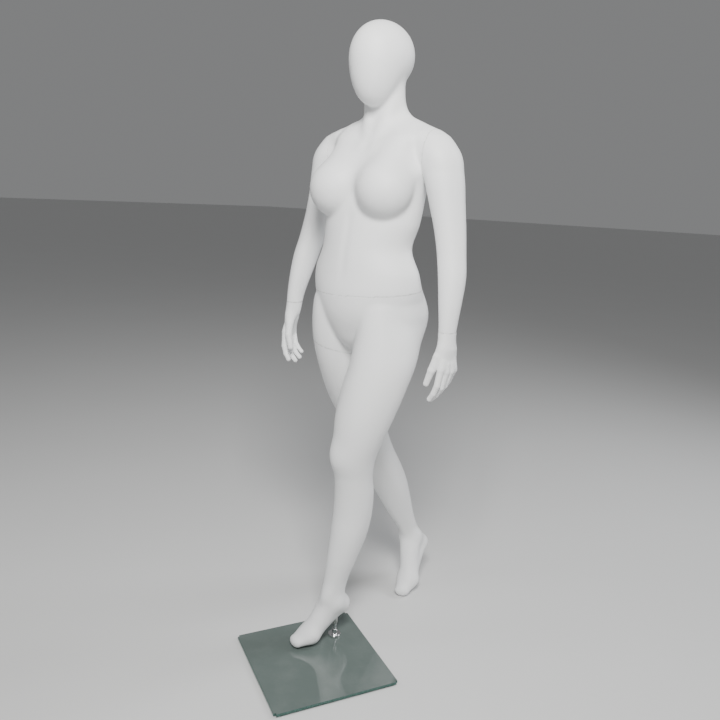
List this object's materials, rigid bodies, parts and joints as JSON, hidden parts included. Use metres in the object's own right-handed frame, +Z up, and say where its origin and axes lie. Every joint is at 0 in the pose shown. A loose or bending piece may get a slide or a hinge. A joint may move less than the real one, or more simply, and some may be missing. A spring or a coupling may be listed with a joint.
{
  "type": "full body mannequin",
  "caption": "Full body female egg-head display mannequin striding on tiptoe, fitted by a foot rod to a square glass base, with twist-off torso, arms, hands and leg.",
  "frame": {"origin": "on the floor, under the middle of the outline seen from above", "axes": "+Z up, the figure faces -Y, its left side is +X"},
  "size_m": [0.5999, 0.8849, 1.7676],
  "materials": {
    "paint": "matte white sprayed paint on glass-fibre shells",
    "panel": "raw glass-fibre end panels",
    "steel": "zinc-plated steel",
    "chrome": "polished chrome",
    "glass": "clear tempered glass with green edges",
    "rubber": "clear soft bumper"
  },
  "bodies": {
    "base": {"glass_plate": "glass", "corner_pad_1": "rubber", "corner_pad_2": "rubber", "corner_pad_3": "rubber", "corner_pad_4": "rubber", "flange_gasket": "rubber", "base_flange": "chrome", "support_rod": "chrome", "bolt_washer": "steel", "base_bolt": "steel"},
    "set_screw": {"flange_set_screw": "steel"},
    "lower_body": {"hip_left_leg_shell": "paint", "waist_socket_panel": "panel", "waist_lock_socket": "steel", "thigh_socket_panel": "panel", "thigh_lock_socket": "steel", "foot_socket": "steel"},
    "upper_body": {"torso_head_shell": "paint", "waist_key_panel": "panel", "waist_lock_key": "steel", "left_shoulder_socket_panel": "panel", "left_shoulder_lock_socket": "steel", "right_shoulder_socket_panel": "panel", "right_shoulder_lock_socket": "steel"},
    "right_leg": {"right_leg_shell": "paint", "thigh_key_panel": "panel", "thigh_lock_key": "steel"},
    "left_arm": {"left_arm_shell": "paint", "left_shoulder_key_panel": "panel", "left_shoulder_lock_key": "steel", "left_wrist_socket_panel": "panel", "left_wrist_lock_socket": "steel"},
    "right_arm": {"right_arm_shell": "paint", "right_shoulder_key_panel": "panel", "right_shoulder_lock_key": "steel", "right_wrist_socket_panel": "panel", "right_wrist_lock_socket": "steel"},
    "left_hand": {"left_hand": "paint", "left_wrist_lock_key": "steel"},
    "right_hand": {"right_hand": "paint", "right_wrist_lock_key": "steel"}
  },
  "joints": [
    {"name": "foot_on_rod", "type": "slide", "parent": "base", "child": "lower_body", "axis": [0, 0, 1], "range_m": [0, 0.12]},
    {"name": "waist_twist", "type": "hinge", "parent": "lower_body", "child": "upper_body", "pos_m": [0, 0, 1.064], "axis": [-0.0299, -0.0847, 0.996], "range_deg": [0, 45]},
    {"name": "thigh_twist", "type": "hinge", "parent": "lower_body", "child": "right_leg", "pos_m": [-0.093, 0.026, 0.893], "axis": [0.2606, 0.029, 0.965], "range_deg": [0, 50]},
    {"name": "left_shoulder_twist", "type": "hinge", "parent": "upper_body", "child": "left_arm", "pos_m": [0.159, 0.053, 1.425], "axis": [0.9968, 0, -0.0797], "range_deg": [0, 60]},
    {"name": "right_shoulder_twist", "type": "hinge", "parent": "upper_body", "child": "right_arm", "pos_m": [-0.159, 0.053, 1.425], "axis": [0.9968, 0, 0.0797], "range_deg": [0, 60]},
    {"name": "left_wrist_twist", "type": "hinge", "parent": "left_arm", "child": "left_hand", "pos_m": [0.2715, 0.001, 0.98], "axis": [0, 0, 1], "range_deg": [-90, 90]},
    {"name": "right_wrist_twist", "type": "hinge", "parent": "right_arm", "child": "right_hand", "pos_m": [-0.2715, 0.001, 0.9926], "axis": [0, 0, 1], "range_deg": [-90, 90]},
    {"name": "set_screw_turn", "type": "hinge", "parent": "base", "child": "set_screw", "pos_m": [0.01762, -0.08247, 0.0262], "axis": [0.8821, 0.4711, 0], "range_deg": [0, 360]}
  ]
}
